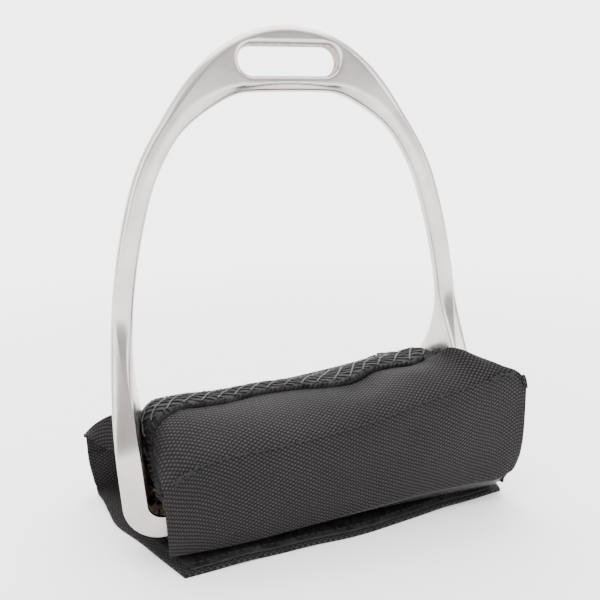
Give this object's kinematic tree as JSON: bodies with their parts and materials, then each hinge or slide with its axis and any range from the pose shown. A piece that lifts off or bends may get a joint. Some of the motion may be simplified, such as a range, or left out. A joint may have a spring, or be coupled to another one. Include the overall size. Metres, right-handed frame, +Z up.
{
  "type": "stirrup iron",
  "caption": "Stainless stirrup iron with an arched frame, a slotted leather eye and a padded grip-mesh cover wrapped round the tread.",
  "frame": {"origin": "on the ground, at the middle of the object's base, under the middle of the tread", "axes": "+X along the tread towards the side where the front wing sticks out, +Y to the back, +Z up through the leather eye"},
  "size_m": [0.166, 0.063, 0.1819],
  "materials": {
    "steel": "satin brushed stainless casting",
    "rubber": "ribbed moulded rubber",
    "foam": "soft open-cell foam",
    "nylon": "coarse basket-woven coated nylon",
    "mesh": "rubbery diamond grip mesh",
    "serging": "chunky overlocked yarn",
    "thread": "bonded nylon thread",
    "hook_tape": "stiff woven tape with moulded hooks",
    "loop_tape": "brushed loop pile"
  },
  "bodies": {
    "iron_and_pad": {"iron": "steel", "tread_rubber": "rubber", "foam_core": "foam", "pocket_base": "nylon", "grip_mesh": "mesh", "front_slope": "nylon", "back_slope": "nylon", "serged_front": "serging", "serged_back": "serging", "serged_left": "serging", "serged_right": "serging", "topstitch_front": "thread", "topstitch_back": "thread", "bartack_front_left": "thread", "bartack_front_right": "thread", "bartack_back_left": "thread", "bartack_back_right": "thread"},
    "front_wing": {"front_wing": "nylon", "hook_strip": "hook_tape", "hook_stitching": "thread"},
    "back_wing": {"back_wing": "nylon"},
    "bottom_flap": {"bottom_flap": "nylon", "loop_strip": "loop_tape", "loop_stitching": "thread"}
  },
  "joints": [
    {"name": "back_wing_fold", "type": "hinge", "parent": "iron_and_pad", "child": "back_wing", "pos_m": [0, 0.0315, 0.0415], "axis": [0.9882, 0, 0.1532], "range_deg": [0, 75]},
    {"name": "flap_fold", "type": "hinge", "parent": "back_wing", "child": "bottom_flap", "pos_m": [0, 0.0315, 0.00135], "axis": [1, 0, 0], "range_deg": [0, 120]},
    {"name": "front_wing_fold", "type": "hinge", "parent": "iron_and_pad", "child": "front_wing", "pos_m": [0, -0.027, 0.0415], "axis": [-0.9882, 0, -0.1532], "range_deg": [0, 60]}
  ],
  "couplings": [
    {"joint": "front_wing_fold", "follows": "flap_fold", "ratio": 0.5}
  ]
}
